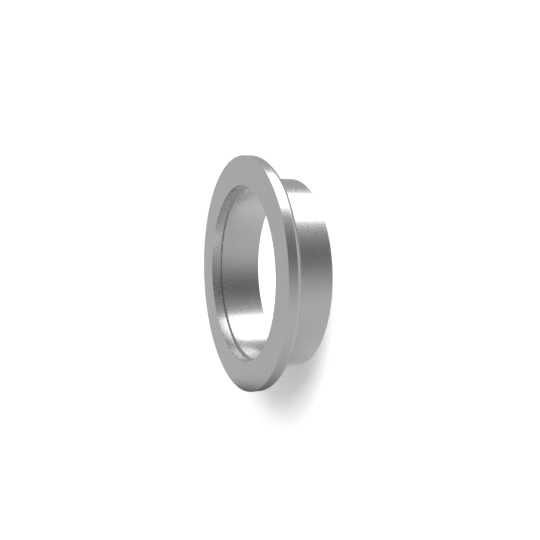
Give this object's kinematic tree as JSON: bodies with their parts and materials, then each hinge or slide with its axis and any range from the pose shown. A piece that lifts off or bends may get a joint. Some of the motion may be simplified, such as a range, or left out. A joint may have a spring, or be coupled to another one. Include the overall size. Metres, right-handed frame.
{
  "type": "vacuum weld flange",
  "caption": "Round turned vacuum flange with a flat sealing face, a shallow recess for a centring ring, a conical back for a clamp and a short tube stub for welding.",
  "frame": {"origin": "centre of the bore in the plane of the weld end, which the flange stands on", "axes": "+Z along the axis of the bore, from the weld end to the sealing face; X and Y are free, because the part is a solid of revolution"},
  "size_m": [0.055, 0.055, 0.0127],
  "materials": {
    "turned_steel": "satin stainless steel with the fine rings of turning"
  },
  "bodies": {
    "root": {"weld_flange": "turned_steel"}
  },
  "joints": []
}
